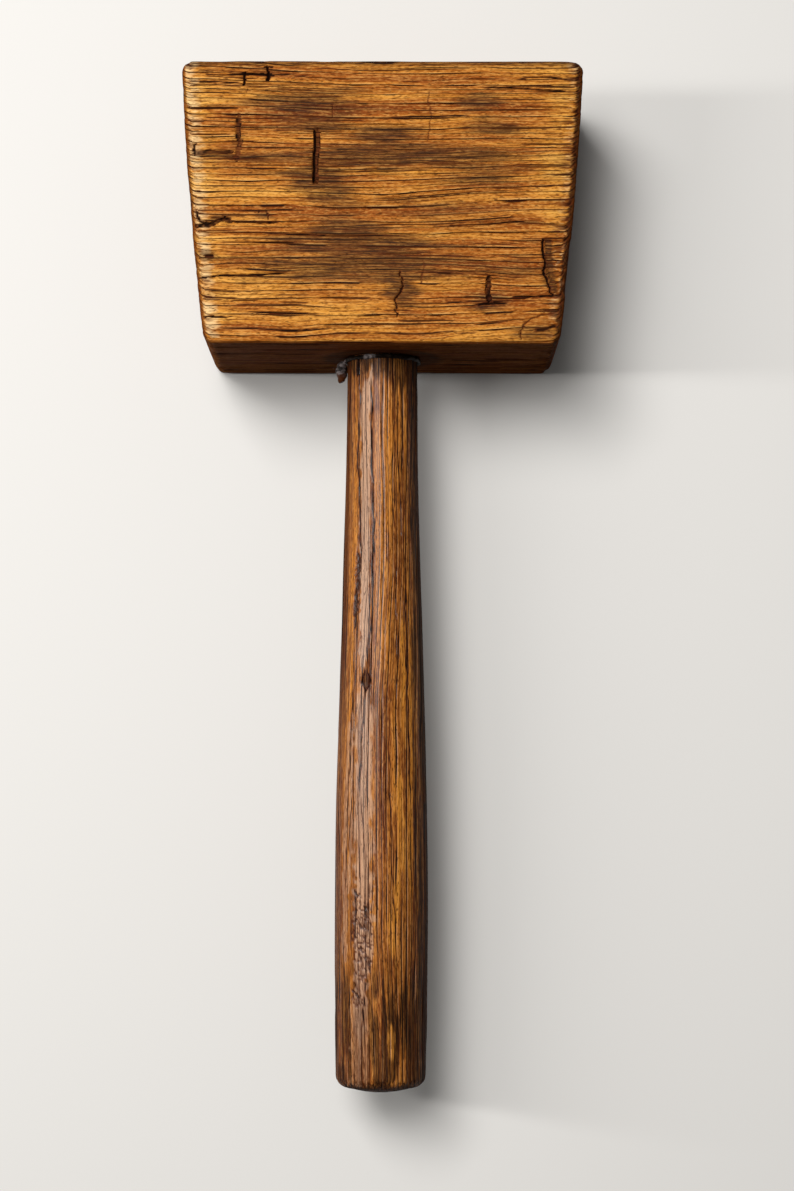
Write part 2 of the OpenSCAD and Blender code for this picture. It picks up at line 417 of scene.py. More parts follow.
def cut_profile(across, along, cut, seed):
    """How deep a cut goes at each point of a face, and how dark it is there. It thins out at both ends and
    jogs sideways between strands of the grain."""
    spot = np.stack([across, along, np.zeros(len(across))], 1)
    wobble = np.stack([noise(spot, (1.1, 1.1, 1), seed), noise(spot, (1.1, 1.1, 1), seed + 1)], 1)
    place = spot[:, :2] + 0.3 * mix(wobble, 0.5, cut.even)
    strand = np.floor(along / 1.25 + 0.6 * noise(spot, (9, 3, 1), seed + 2)).astype(np.int64)
    place[:, 0] += cut.jog * (lattice(strand, 0 * strand, 0 * strand, seed) - 0.5)
    place[:, 0] += 0.8 * (noise(spot * (0, 1, 0), (1, 5, 1), seed + 1) - 0.5)
    path = np.array(cut.path, float)
    lengths = np.hypot(*(path[1:] - path[:-1]).T)
    nearest = np.full(len(place), 1e9)
    share = np.zeros(len(place))
    done = 0
    for start, end, length in zip(path[:-1], path[1:], lengths):
        t = np.clip(((place - start) @ (end - start)) / length ** 2, 0, 1)
        gap = np.hypot(*(place - start - t[:, None] * (end - start)).T)
        closer = gap < nearest
        nearest = np.where(closer, gap, nearest)
        share = np.where(closer, (done + t * length) / lengths.sum(), share)
        done += length
    half = cut.width / 2 * mix(0.5, 1.3, mix(noise(spot, (1.3, 1.3, 1), seed + 2), 0.55, cut.even))
    half = half * np.clip(16 * share * (1 - share), 0.2, 1) ** 0.5
    inside = np.clip(1 - nearest / half, 0, 1)
    tone = cut.tone * smooth(0, 0.5, inside)
    if cut.wall < 0.6:
        at_wall = smooth(0, 0.15, inside) * smooth(0.5, 0.25, inside)
        tone = tone * mix(0.6, 1.1, noise(spot, (0.9, 0.9, 1), seed + 1))
        tone += 0.7 * at_wall * smooth(0.3, 0.6, noise(spot, (1.5, 1.5, 1), seed + 4))
    return cut.depth * np.clip(inside / cut.wall, 0, 1), np.minimum(tone, 1)


def lay_cuts(depth, dark, on_face, across, along, cuts, seed):
    """Adds each cut's depth and darkness to the points on_face."""
    for i, cut in enumerate(cuts):
        path = np.array(cut.path)
        reach = cut.width + 1
        low, high = path.min(0) - reach, path.max(0) + reach
        near = (across > low[0]) & (across < high[0]) & (along > low[1]) & (along < high[1])
        deep, tone = cut_profile(across[near], along[near], cut, seed + 3 * i)
        spots = on_face[near]
        depth[spots] = np.maximum(depth[spots], deep + 0.1 * (deep > 0))
        dark[spots] = np.maximum(dark[spots], tone)


def open_line(depth, dark, spots, along, level, middle, run, width, deep):
    """Opens the grain at the given level over a run along it, less and less towards its ends."""
    share = (along - middle) / run + 0.5
    half = width / 2 * np.sqrt(np.clip(4 * share * (1 - share), 0, 1))
    inside = np.where(half > 0.02, np.clip(1 - np.abs(level) / np.maximum(half, 0.02), 0, 1), 0)
    depth[spots] += deep * inside
    dark[spots] = np.maximum(dark[spots], 0.9 * smooth(0, 0.6, inside))


def drying_checks(depth, dark, grain, on_face, count, longest, rng):
    """Fine checks that follow the growth rings on one face."""
    for i in range(count):
        pick = on_face[rng.randrange(len(on_face))]
        run = rng.uniform(0.2, 1) * longest
        level = grain[on_face, 1] - grain[pick, 1]
        near = np.abs(level) < 0.5
        spots = on_face[near]
        width, deep = rng.uniform(0.25, 0.42), rng.uniform(0.12, 0.3)
        open_line(depth, dark, spots, grain[spots, 0], level[near], grain[pick, 0], run, width, deep)


# Head: a finely divided block, rounded and tapered, then worn and cracked

def face_x(y):
    """Distance from the head's middle to a striking face at the height y."""
    slope = math.tan(math.radians(FACE_SLOPE))
    return CROWN_W / 2 - (CROWN_Y - y) * slope + FACE_BULGE * (1 - (y / CROWN_Y) ** 2)


def divided_block():
    """A plain block of the head's size, divided into strips, finer ones near its side edges and in its
    front, and finer again where a crack runs across the grain."""
    deselect()
    size = (CROWN_W * MM, HEAD_H * MM, HEAD_T * MM)
    bpy.ops.mesh.primitive_cube_add(size=1, location=on_axis(0), scale=size)
    block = named("head_wood")
    edit()
    for axis, strips in enumerate(HEAD_STRIPS):
        divide(block, strips - 1, lambda edge: runs_along(edge, axis))
    fine_from = (CROWN_W / 2 - FINE_EDGE_W) * MM
    divide(block, 2, lambda edge: runs_along(edge, 0) and abs(edge.verts[0].co.x) > fine_from)
    divide(block, 2, lambda edge: runs_along(edge, 1) and in_front(edge.verts[0].co))
    divide(block, 4, lambda edge: runs_along(edge, 0) and near_a_crack(edge))
    edit(False)
    return block


def in_front(place):
    """Whether a place in metres is in the block's front."""
    return place.z > 0.999 * HEAD_T * MM


def near_a_crack(edge):
    """Whether an edge lies at a crack that runs across the grain, and is still long."""
    if not in_front(edge.verts[0].co) or not in_front(edge.verts[1].co) or edge.calc_length() < MM:
        return False
    middle = (edge.verts[0].co + edge.verts[1].co) / 2 / MM
    x = middle.x * face_x(middle.y) / (CROWN_W / 2)
    for cut in FRONT_CUTS:
        for (x0, y0), (x1, y1) in zip(cut.path[:-1], cut.path[1:]):
            steep = abs(y1 - y0) > 0.3 * abs(x1 - x0)
            length2 = (x1 - x0) ** 2 + (y1 - y0) ** 2
            t = min(1, max(0, ((x - x0) * (x1 - x0) + (middle.y - y0) * (y1 - y0)) / length2))
            gap = math.hypot(x - x0 - t * (x1 - x0), middle.y - y0 - t * (y1 - y0))
            if steep and gap < cut.width / 2 + 1.3:
                return True
    return False


def round_and_taper(p):
    """Rounds the block's corners and edges, then draws its sides in towards the underside and swells them.
    The second result is 1 along the middle of each rounded edge."""
    flat = p[:, :2]
    corner_r = np.where(flat[:, 1] > 0, CROWN_CORNER_R, UNDER_CORNER_R)
    core = np.array([CROWN_W / 2, HEAD_H / 2]) - corner_r[:, None]
    out = np.maximum(np.abs(flat) - core, 0)
    reach = out.max(1)
    length = np.hypot(*out.T)
    way = out / np.where(length > 0, length, 1)[:, None]
    edge_r = np.where(flat[:, 1] > 0, CROWN_EDGE_R, UNDER_EDGE_R)
    edge_r = mix(edge_r, SIDE_EDGE_R, way[:, 0] ** 2) * mix(0.85, 1.15, noise(p, (14, 14, 14), 11))
    edge_r = np.minimum(edge_r, corner_r)
    z = p[:, 2] - AXIS_Z
    in_plan = reach - (corner_r - edge_r)
    in_depth = np.abs(z) - (HEAD_T / 2 - edge_r)
    on_edge = (in_plan > 0) & (in_depth > 0)
    slant = np.maximum(np.hypot(in_plan, in_depth), 1e-9)
    pull = np.where(on_edge, np.maximum(in_plan, in_depth) / slant, 1)
    reach = np.where(on_edge, corner_r - edge_r + in_plan * pull, reach)
    z = np.where(on_edge, np.sign(z) * (HEAD_T / 2 - edge_r + in_depth * pull), z)
    flat = np.clip(flat, -core, core) + np.sign(flat) * way * reach[:, None]
    edge = np.where(on_edge, np.minimum(in_plan, in_depth) / edge_r, 0) * way[:, 0] ** 2
    corner = 0.5 * np.minimum(out[:, 0], out[:, 1]) / corner_r * (z > 0)
    x = flat[:, 0] * face_x(flat[:, 1]) / (CROWN_W / 2)
    return np.stack([x, flat[:, 1], z + AXIS_Z], 1), np.maximum(edge, corner)


def patches(p, spots):
    """How strongly soft oval patches on the front cover each point. The grain frays their edges."""
    cover = np.zeros(len(p))
    ragged = 0.6 * (noise(p, (26, 3.2, 9), 45) - 0.5) + 0.7 * (noise(p, (12, 1, 5), 46) - 0.5)
    ragged += 0.6 * (noise(p, (34, 1.5, 9), 50) - 0.5)
    for x, y, reach_x, reach_y, strength in spots:
        spot = np.hypot((p[:, 0] - x) / reach_x, (p[:, 1] - y) / reach_y) + ragged
        cover = np.maximum(cover, strength * smooth(1.4, 0, spot))
    return cover


def head():
    """The head, with its marks cut in, and its dirt, its wear, its painted shade and its painted highlights
    stored for its material.
    """
    piece = divided_block()
    p, edge = round_and_taper(points(piece))
    move_points(piece, p)
    n = normals(piece)
    end = smooth(0.55, 0.92, np.abs(n[:, 0]))
    side = 1 - end
    right = p[:, 0] > 0
    inward = face_x(p[:, 1]) - np.abs(p[:, 0])
    # Oil-soaked end grain along the side edges. The wider band at the right edge is painted shade, and so
    # is the darkened underside.
    at_side = np.where(right, smooth(2.8, 0.9, inward), smooth(1.7, 0.5, inward))
    soaked = np.maximum(at_side, 0.7 * smooth(-0.4, -0.9, n[:, 1]))
    grain = grain_of(p, 0, HEAD_PITH, 21)

    # Shallow wear, growth rings in low relief, and grain torn open along the side edges
    depth = 0.2 * noise(p, (25, 12, 12), 31)
    ring = (grain[:, 1] / HEAD_RING) % 1
    depth += (0.12 + 0.1 * end) * ring ** 2 * smooth(0.3, 0.6, noise(grain, (36, 1.6, 20), 32))
    depth += side * 0.12 * smooth(0.5, 0.85, noise(grain, (14, 0.8, 6), 33))
    torn = smooth(9, 1, inward) * side
    tears = smooth(0.48, 0.78, noise(grain, (4, 0.42, 3), 34))
    depth += torn * 0.45 * tears
    depth += end * 0.3 * smooth(0.5, 0.9, noise(grain, (4, 1.1, 1.4), 35))
    # The torn grain is darker at the right edge than at the left: partly painted shade
    dark = mix(0.45, 0.85, right) * torn * tears

    # Checks along the grain of the four long faces, and radial ones in the striking faces
    rng = random.Random(4)
    for axis, way, count, longest in ((2, 1, 90, 34), (2, -1, 90, 45), (1, 1, 60, 45), (1, -1, 60, 45)):
        on_face = np.flatnonzero(n[:, axis] * way > 0.9)
        drying_checks(depth, dark, grain, on_face, count, longest, rng)
    for way in (1, -1):
        on_face = np.flatnonzero(n[:, 0] * way > 0.7)
        drying_checks(depth, dark, grain[:, [1, 2, 0]] * (1, 0.45, 1), on_face, 7, 34, rng)

    # The front's own grain lines, cracks and nicks, and the split at its right edge
    front = np.flatnonzero(n[:, 2] > 0.2)
    x, y = p[front, 0], p[front, 1]
    for start, stop, height in FRONT_LINES:
        middle = (start + stop) / 2
        level = grain[front, 1] - grain[front[np.argmin(np.hypot(x - middle, y - height))], 1]
        near = np.abs(level) < 0.6
        open_line(depth, dark, front[near], x[near], level[near], middle, stop - start, 0.42, 0.45)
    lay_cuts(depth, dark, front, x, y, FRONT_CUTS, 500)
    chip_x, chip_y = zip(*CHIP_EDGE)
    chip_x = np.interp(p[:, 1], chip_y, chip_x)
    chip = smooth(-33.6, -31.5, p[:, 1]) * smooth(-12.6, -14, p[:, 1]) * smooth(0, 1.2, p[:, 0] - chip_x)
    chip *= smooth(HEAD_T - 12, HEAD_T - 6, p[:, 2])
    depth += chip * (0.35 + 0.8 * noise(p, (1.6, 1.3, 1.6), 36))

    # Dents from blows on both striking faces
    for i in range(BLOWS):
        way = rng.choice((-1, 1))
        height = rng.uniform(-48, 48)
        centre = np.array([way * face_x(height), height, rng.uniform(2, HEAD_T - 2)])
        reach = rng.uniform(1.5, 5)
        gap = np.linalg.norm(p - centre, axis=1)
        depth += rng.uniform(0.15, 0.5) * smooth(0, 1, 1 - gap / reach)

    move_points(piece, p - n * depth[:, None])

    # Dirt and old oil on the front, and blotches on the crown and other faces. Darker along the top of the
    # front and on the underside round the neck. A painted shadow in the split, and painted shade at the
    # right edge.
    facing = n[:, 2] > 0.02
    soot = np.maximum(patches(p, FRONT_SOOT), 0.75 * smooth(45.5, 49.5, p[:, 1])) * facing
    soot = np.maximum(soot, 1.3 * smooth(26, 14, off_axis(p)) * (n[:, 1] < -0.5))
    blotch = 0.45 * noise(grain + (13, 0, 0), (43, 8, 14), 42)
    blotch += 0.55 * noise(grain + (7, 0, 0), (19, 1.7, 5), 52)
    blotch = np.maximum(smooth(0.48, 0.72, blotch), end * smooth(0.4, 0.7, noise(p, (9, 16, 16), 49)))
    soot = np.maximum(soot, 0.6 * blotch * (n[:, 2] <= 0.3) * (n[:, 1] > -0.5))
    # Painted shadow of the split's wall on the wood beside it
    crevice = chip * smooth(4.5, 0.8, p[:, 0] - chip_x)
    soot = np.maximum(soot * (1 - chip), crevice * mix(0.9, 1.8, noise(p, (1.8, 0.9, 1.8), 44)))
    # Painted shade along the right edge
    soot = np.maximum(soot, smooth(4.2, 1.8, inward + 1.6 * noise(p, (2, 1.2, 2), 47)) * right * side)

    # Wear: scuffed side edges, a pale band along each that is wear and a painted highlight, stronger on the
    # left, and bare wood in the split
    band = smooth(10, 3, inward) * smooth(1, 2.4, inward + 0.8 * ~right)
    band *= mix(0.55, 1, smooth(0.25, 0.7, noise(grain, (3.4, 0.8, 3), 43)))
    # The band is brighter on the left than on the right: a painted highlight
    band *= side * smooth(-0.3, 0.2, n[:, 1]) * mix(1.2, 0.7, right) * (n[:, 2] > 0.2)
    scuffs = smooth(0.35, 0.65, noise(p, (1.2, 0.6, 1.2), 41)) * smooth(0.6, 1.6, inward)
    worn = np.maximum(0.5 * edge * scuffs * smooth(-0.1, 0.5, n[:, 2]), band)
    split = 0.5 * (chip - crevice) * smooth(0.4, 0.7, noise(p, (0.9, 0.7, 0.9), 48))
    mark(piece, crack=dark, worn=np.maximum(worn * (1 - chip), split), soot=soot, soaked=soaked,
         rubbed=patches(p, FRONT_RUBBED) * facing)
    cut_away(piece, eye_cutter())
    mark(piece, grain=grain_of(points(piece), 0, HEAD_PITH, 21))
    return piece


def eye_cutter():
    """The eye: round from the underside, flared along the grain towards the crown."""
    deselect()
    radius = TENON_D / 2 + GLUE_GAP
    straight = HEAD_H - KERF_L
    bpy.ops.mesh.primitive_cylinder_add(
        vertices=96, radius=radius * MM, depth=(straight + PAST) * MM,
        location=on_axis(UNDER_Y + (straight - PAST) / 2), rotation=LYING)
    cutter = named("eye_cutter")
    edit()
    choose(cutter, "FACE", lambda face: face.normal.y > 0.5)
    extrude_up(KERF_L + PAST)
    bpy.ops.transform.resize(value=(1 + SPREAD * (1 + PAST / KERF_L) / radius, 1, 1))
    edit(False)
    return cutter


# Handle

def handle_r(s):
    """The handle's radius at a distance s from the head."""
    swell = mix(NECK_D, GRIP_D, (1 - np.cos(np.pi * np.clip(s, 0, GRIP_AT) / GRIP_AT)) / 2)
    fall = mix(GRIP_D, BUTT_D, (np.maximum(s - GRIP_AT, 0) / (HANDLE_L - GRIP_AT)) ** 2)
    return np.where(s < GRIP_AT, swell, fall) / 2


def turned_blank():
    """A round bar of the neck's size with rings along it, closer ones at its scars. Insets start its
    rounded butt, and two extrusions make its tenon."""
    deselect()
    bpy.ops.mesh.primitive_cylinder_add(
        vertices=HANDLE_SIDES, radius=NECK_R * MM, depth=RIM_AT * MM,
        location=on_axis(UNDER_Y - RIM_AT / 2), rotation=LYING)
    bar = named("handle_wood")
    edit()
    divide(bar, HANDLE_RINGS - 1, lambda edge: runs_along(edge, 1))
    divide(bar, 3, lambda edge: runs_along(edge, 1) and near_a_scar(edge))
    choose(bar, "FACE", lambda face: face.normal.y < -0.5)
    for i in range(RIM_INSETS + DOME_INSETS):
        step = RIM_SHARE / RIM_INSETS if i < RIM_INSETS else (1 - RIM_SHARE) / (DOME_INSETS + 1)
        bpy.ops.mesh.inset(thickness=step * NECK_R * MM)
    bpy.ops.mesh.poke()
    choose(bar, "FACE", lambda face: face.normal.y > 0.5)
    bpy.ops.mesh.inset(thickness=SHOULDER_W * MM)
    extrude_up(HEAD_H - KERF_L)
    extrude_up(KERF_L)
    bpy.ops.transform.resize(value=(1 + SPREAD / (TENON_D / 2), 1, 1))
    edit(False)
    return bar


def near_a_scar(edge):
    """Whether an edge of the bar lies at a wide cut, the knot or the crackled skin."""
    middle = (edge.verts[0].co + edge.verts[1].co) / 2 / MM
    turn, s = math.degrees(math.atan2(middle.x, middle.z - AXIS_Z)), UNDER_Y - middle.y
    scars = [cut.path for cut in HANDLE_CUTS if cut.width > 1] + [[KNOT_AT], [(-38, 188), (-14, 224)]]
    for turns, places in [zip(*path) for path in scars]:
        if min(turns) - 9 < turn < max(turns) + 9 and min(places) - 4 < s < max(places) + 4:
            return True
    return False


def turn_to_profile(p):
    """Gives the bar its swell, and its flat end a rounded rim and a dome."""
    s = UNDER_Y - p[:, 1]
    x, z = p[:, 0], p[:, 2] - AXIS_Z
    share = np.hypot(x, z) / NECK_R
    below = s > 0.01
    at_butt = s > RIM_AT - 0.01
    dome_r = handle_r(RIM_AT) - BUTT_RIM_R
    turn = np.clip((1 - share) / RIM_SHARE, 0, 1) * np.pi / 2
    on_rim = share > 1 - RIM_SHARE - 1e-6
    inner = share / (1 - RIM_SHARE)
    butt_r = np.where(on_rim, dome_r + BUTT_RIM_R * np.cos(turn), dome_r * inner)
    butt_s = np.where(on_rim, RIM_AT + BUTT_RIM_R * np.sin(turn), HANDLE_L - BUTT_DOME * inner ** 2)
    new_r = np.where(at_butt, butt_r, handle_r(s) * share)
    scale = np.where(below, new_r / np.maximum(share * NECK_R, 1e-9), 1)
    s = np.where(at_butt, butt_s, s)
    return np.stack([x * scale, UNDER_Y - s, z * scale + AXIS_Z], 1)


def handle():
    """The handle, with its marks, dirt and wear like the head's, and its painted sheen and painted shade.
    """
    piece = turned_blank()
    p = turn_to_profile(points(piece))
    move_points(piece, p)
    n = normals(piece)
    s = UNDER_Y - p[:, 1]
    angle = angle_round(p)
    seen = s > 0.05
    end = smooth(0.6, 0.95, np.abs(n[:, 1]))
    side = (1 - end) * seen
    grain = grain_of(p, 1, HANDLE_PITH, 61)

    depth = 0.25 * noise(p, (12, 30, 12), 63) * seen
    wear = mix(0.6, 1.3, smooth(190, 235, s))
    ring = (grain[:, 1] / HANDLE_RING) % 1
    depth += 0.1 * side * ring ** 2 * smooth(0.3, 0.6, noise(grain, (50, 2, 20), 64))
    depth += side * wear * 0.12 * smooth(0.5, 0.85, noise(p, (0.9, 22, 0.9), 65))
    frayed = smooth(205, 245, s) * side
    tears = smooth(0.5, 0.9, noise(p, (0.9, 7, 0.9), 66))
    depth += frayed * 0.22 * tears
    dark = 0.3 * frayed * tears

    rng = random.Random(9)
    for turn in range(-180, 180, 45):
        off = (angle - turn + 180) % 360 - 180
        on_face = np.flatnonzero((np.abs(off) < 26) & seen & (end < 0.5))
        around = grain.copy()
        sway = noise(np.stack([s, 0 * s + turn, 0 * s], 1), (30, 1, 1), 67)
        around[:, 1] = np.radians(off) * handle_r(s) + 2.5 * sway
        drying_checks(depth, dark, around, on_face, 16, 70, rng)
    front = np.flatnonzero((np.abs(angle) < 80) & seen & (end < 0.5))
    around = np.radians(angle[front]) * handle_r(s[front])
    arcs = [cut._replace(path=on_arc(cut.path), jog=0) for cut in HANDLE_CUTS]
    lay_cuts(depth, dark, front, around, s[front], arcs, 700)
    knot_x = math.radians(KNOT_AT[0]) * float(handle_r(KNOT_AT[1]))
    from_knot = np.full(len(p), 9.0)
    from_knot[front] = (2 * np.abs(around - knot_x) / KNOT_SIZE[0]
                        + 2 * np.abs(s[front] - KNOT_AT[1]) / KNOT_SIZE[1])
    from_knot += 0.3 * (noise(p, (1.2, 1.6, 1.2), 70) - 0.5)
    rim = smooth(0.3, 0.1, np.abs(from_knot - 1))
    depth += 0.3 * rim + smooth(1, 0.9, from_knot) * (0.1 + 0.25 * noise(p, (0.9, 0.9, 0.9), 71))
    dark = np.maximum(dark, np.maximum(0.9 * rim, 0.1 * smooth(1.1, 0.8, from_knot)))

    # The crackled skin: ragged patches, and fine seams between its flakes
    crackle = np.zeros(len(p))
    ragged = 0.7 * (noise(p, (3, 7, 3), 75) - 0.5)
    for turn, place, reach_turn, reach_s in CRACKLED:
        reach = np.hypot((angle - turn) / reach_turn, (s - place) / reach_s) + ragged
        crackle = np.maximum(crackle, smooth(1, 0.75, reach))
    seam = smooth(0.1, 0.02, np.abs(noise(p, (1.1, 1.6, 1.1), 76) - 0.5))
    seam = np.maximum(seam, smooth(0.1, 0.02, np.abs(noise(p, (1, 1.2, 1), 77) - 0.5))) * crackle
    depth += 0.22 * seam
    dark = np.maximum(dark, 0.75 * seam)

    move_points(piece, p - n * (depth * seen)[:, None])

    # Pale streaks, mostly a painted sheen, and golden ones. Then grime at the neck, the butt and the knot,
    # a painted shadow at the top of the neck, and painted shade down the right side and at both edges.
    pale, gold = np.zeros(len(p)), np.zeros(len(p))
    for streaks, cover in ((HANDLE_PALE, pale), (HANDLE_GOLD, gold)):
        for i, (path, width, strength) in enumerate(streaks):
            streak = cut_profile(around, s[front], Cut(on_arc(path), width, 1, jog=0), 800 + 3 * i)[1]
            cover[front] = np.maximum(cover[front], strength * streak)
    # The crackled skin is painted pale as well, as a painted grey sheen
    pale = np.maximum(pale, 0.7 * crackle * (angle > -34))
    stained = mix(3.5, 11, smooth(-6, 24, angle))
    blotch = 0.5 * noise(p, (3, 16, 3), 69) + 0.5 * noise(p, (0.9, 9, 0.9), 78)
    not_behind = smooth(140, 100, angle)
    streaky = mix(0.15, 1.15, smooth(0.36, 0.52, noise(p, (0.9, 45, 0.9), 72)))
    grime = np.max([
        smooth(1.8, 0.5, (s + 9 * noise(p, (1.3, 9, 1.3), 68) - 4.5) / stained),
        # Near-black at the top of the neck: dirt and a painted shadow of the head
        1.3 * smooth(4.4, 2.2, s + 2.2 * noise(p, (1.6, 3, 1.6), 74)),
        0.7 * smooth(1.2, 0.7, np.hypot((angle + 9) / 8, (s - 5) / 5)),
        smooth(202, 232, s) * smooth(0.3, 0.52, blotch) * (1 - 0.6 * (pale > 0.4)),
        0.85 * smooth(1.4, 0.95, from_knot),
        # Painted shade down the right side
        smooth(34, 60, angle) * not_behind * streaky,
    ], 0)
    # Painted shade at the left and right edges, less at the left further down. It is stored with the
    # oil-soaked end grain.
    shaded = smooth(-52, -68, angle) * smooth(-130, -100, angle) * mix(0.85, 1, noise(p, (2, 30, 2), 73))
    shaded = shaded * mix(1, 0.45, smooth(90, 150, s))
    shaded = np.maximum(shaded, 0.9 * smooth(52, 72, angle) * not_behind)
    mark(piece, crack=dark, worn=pale, soot=grime * seen * (1 - 0.25 * np.minimum(gold, 3)),
         soaked=np.maximum(end, shaded), rubbed=gold)
    for way in (-1, 1):
        cut_away(piece, kerf_cutter(way))
    mark(piece, grain=grain_of(points(piece), 1, HANDLE_PITH, 61))
    return piece


def on_arc(path):
    """Points on the handle with each angle turned to a distance round it."""
    return [(math.radians(turn) * float(handle_r(at)), at) for turn, at in path]


def kerf_cutter(way):
    """One saw cut through the tenon, opened by its wedge."""
    deselect()
    inner = (KERF_PITCH - KERF_W) / 2
    size = np.array([KERF_W, KERF_L + PAST, 2 * TENON_D]) * MM
    middle = on_axis(CROWN_Y + (PAST - KERF_L) / 2, way * KERF_PITCH / 2)
    bpy.ops.mesh.primitive_cube_add(size=1, location=middle, scale=size)
    cutter = named("kerf_cutter")
    p = points(cutter)
    outer_top = (np.abs(p[:, 0]) > inner + 0.1) & (p[:, 1] > CROWN_Y)
    p[outer_top, 0] += way * SPREAD * (KERF_L + PAST) / KERF_L
    move_points(cutter, p)
    return cutter


# Hardened glue

def glue():
    """A thin ring of squeezed-out glue between neck and underside, with a drip at the left."""
    deselect()
    bpy.ops.mesh.primitive_torus_add(
        major_radius=(NECK_R + BEAD_W / 2) * MM, minor_radius=(BEAD_W / 2 + 0.15) * MM,
        major_segments=128, minor_segments=16, location=on_axis(UNDER_Y), rotation=LYING)
    ring = named("glue_ring")
    p = points(ring)
    p[:, 1] = UNDER_Y - BEAD_H / 2 + (p[:, 1] - UNDER_Y) * BEAD_H / (BEAD_W + 0.3)
    move_points(ring, p)
    lobes = [ring]
    for s, reach in ((3.9, 0.47 * DRIP_D), (5.4, 0.45 * DRIP_D), (7.2, DRIP_D / 3), (2.2, DRIP_D / 3)):
        deselect()
        place = on_axis(UNDER_Y - s, -NECK_R - DRIP_STAND)
        bpy.ops.mesh.primitive_uv_sphere_add(segments=32, ring_count=20, radius=reach * MM, location=place)
        lobes.append(named("glue_drip"))
    take(ring)
    for lobe in lobes:
        lobe.select_set(True)
    bpy.ops.object.join()
    ring.name = ring.data.name = "hardened_glue"
    apply_modifier(ring, "REMESH", mode="VOXEL", voxel_size=GLUE_VOXEL * MM)
    apply_modifier(ring, "SMOOTH", factor=0.5, iterations=3)
    p, n = points(ring), normals(ring)
    lumps = 0.7 * noise(p, (2.6, 2, 2.6), 81) + 0.6 * noise(p, (1.1, 0.9, 1.1), 82) - 0.7
    on_ring = smooth(NECK_R + 1.6, NECK_R + 1, off_axis(p))
    p = p + n * (lumps * mix(1, 0.6, on_ring))[:, None]
    scale = np.maximum((NECK_R + GLUE_CLEARANCE) / off_axis(p), 1)
    p[:, 0] *= scale
    p[:, 2] = AXIS_Z + (p[:, 2] - AXIS_Z) * scale
    p[:, 1] = np.minimum(p[:, 1], UNDER_Y - 0.02)
    move_points(ring, p)
    s = UNDER_Y - p[:, 1]
    angle = angle_round(p)
    drip = smooth(-NECK_R - 0.2, -NECK_R - 0.8, p[:, 0])
    # Grey-white on the ring at the front-left is a painted highlight. On the top of the drip it is bloom
    # and a painted highlight.
    shine = smooth(11, 6, np.abs(angle + 20)) * (1 - drip)
    mark(ring, bloom=np.maximum(drip * smooth(7, 5, s), shine), amber=drip * smooth(4.5, 6.5, s))
    return ring


# Materials

def add(tree, kind, *feeds, out="", stops=(), **settings):
    """Adds one node and gives its output called out, or else its first. Settings are the node's own values.
    The feeds are values or other nodes' outputs, for the sockets that these leave in use, in order. None
    leaves a socket as it is. Stops are a colour ramp's (place, hex colour) pairs."""
    made = tree.nodes.new("ShaderNode" + kind)
    for name, value in settings.items():
        setattr(made, name, value)
    in_use = [socket for socket in made.inputs if socket.enabled]
    for socket, feed in zip(in_use, feeds):
        if isinstance(feed, bpy.types.NodeSocket):
            tree.links.new(feed, socket)
        elif feed is not None:
            socket.default_value = feed
    if stops:
        ramp = made.color_ramp.elements
        while len(ramp) < len(stops):
            ramp.new(0.5)
        for element, (place, code) in zip(ramp, stops):
            element.position = place
            element.color = colour(code)
    given = [socket for socket in made.outputs if socket.enabled and out in ("", socket.name)]
    return given[0] if given else None


def new_material(name, finish):
    """A material with one Principled shader. The finish is what the shader's own sockets hold."""
    material = bpy.data.materials.new(name)
    material.use_nodes = True
    tree = material.node_tree
    tree.nodes.clear()
    shader = add(tree, "BsdfPrincipled").node
    for socket, value in finish.items():
        shader.inputs[socket].default_value = value
    add(tree, "OutputMaterial", shader.outputs["BSDF"])
    return material, tree, shader


def pattern(tree, where, cell, detail=2, rough=0.55):
    """A soft random pattern on a vector in millimetres, with features of the size cell."""
    fitted = add(tree, "Mapping", where, None, None, [1 / size for size in cell])
    return add(tree, "TexNoise", fitted, 1, detail, rough)


def in_mm(tree):
    """Object coordinates in millimetres."""
    return add(tree, "VectorMath", add(tree, "TexCoord", out="Object"), 1 / MM, operation="SCALE")


def stored_values(tree, *names):
    """The values that mark() stored under each name."""
    return [add(tree, "Attribute", out="Fac", attribute_name=name) for name in names]


def summed(tree, start, *parts):
    """The start with the parts added to it, each times its weight, as (part, weight) pairs."""
    for part, weight in parts:
        start = add(tree, "Math", part, weight, start, operation="MULTIPLY_ADD")
    return start


def layered(tree, base, layers):
    """The base with layers of colour over it: (share, strength where the share is 1, hex colour)."""
    for share, strength, code in layers:
        share = summed(tree, 0, (share, strength))
        base = add(tree, "Mix", share, base, colour(code), data_type="RGBA")
    return base


def dress(tree, shader, base, relief, strength, deepest):
    """Gives the shader its colour, and its fine relief, up to deepest millimetres."""
    tree.links.new(base, shader.inputs["Base Color"])
    bump = add(tree, "Bump", strength, deepest * MM, None, relief)
    tree.links.new(bump, shader.inputs["Normal"])


def across_ring(tree, out, pitch):
    """The place across each growth ring, from 0 inside to 1 outside."""
    return add(tree, "Math", summed(tree, 0, (out, 1 / pitch)), operation="FRACT")


def growth_lines(tree, out, pitch, width, run):
    """Dark lines at every pitch outwards, in line with the growth rings. Where run falls from 1 to 0 they
    thin out and end. The second result is the ledge just outside each line."""
    place = across_ring(tree, out, pitch)
    width = width / pitch
    start = add(tree, "MapRange", run, 0, 1, 1, 1 - width)
    line = add(tree, "MapRange", summed(tree, place, (start, -1)), 0, 0.35 * width)
    ledge = add(tree, "MapRange", place, 0.8 * width, 0.1 * width)
    return line, summed(tree, 0, (ledge, add(tree, "MapRange", run, 0.5, 1)))


def patchy(tree, share, speckle, low, high):
    """A share broken up by a random pattern: 0 where their sum is below low, 1 where it is above high."""
    return add(tree, "MapRange", summed(tree, share, (speckle, 1)), low, high)


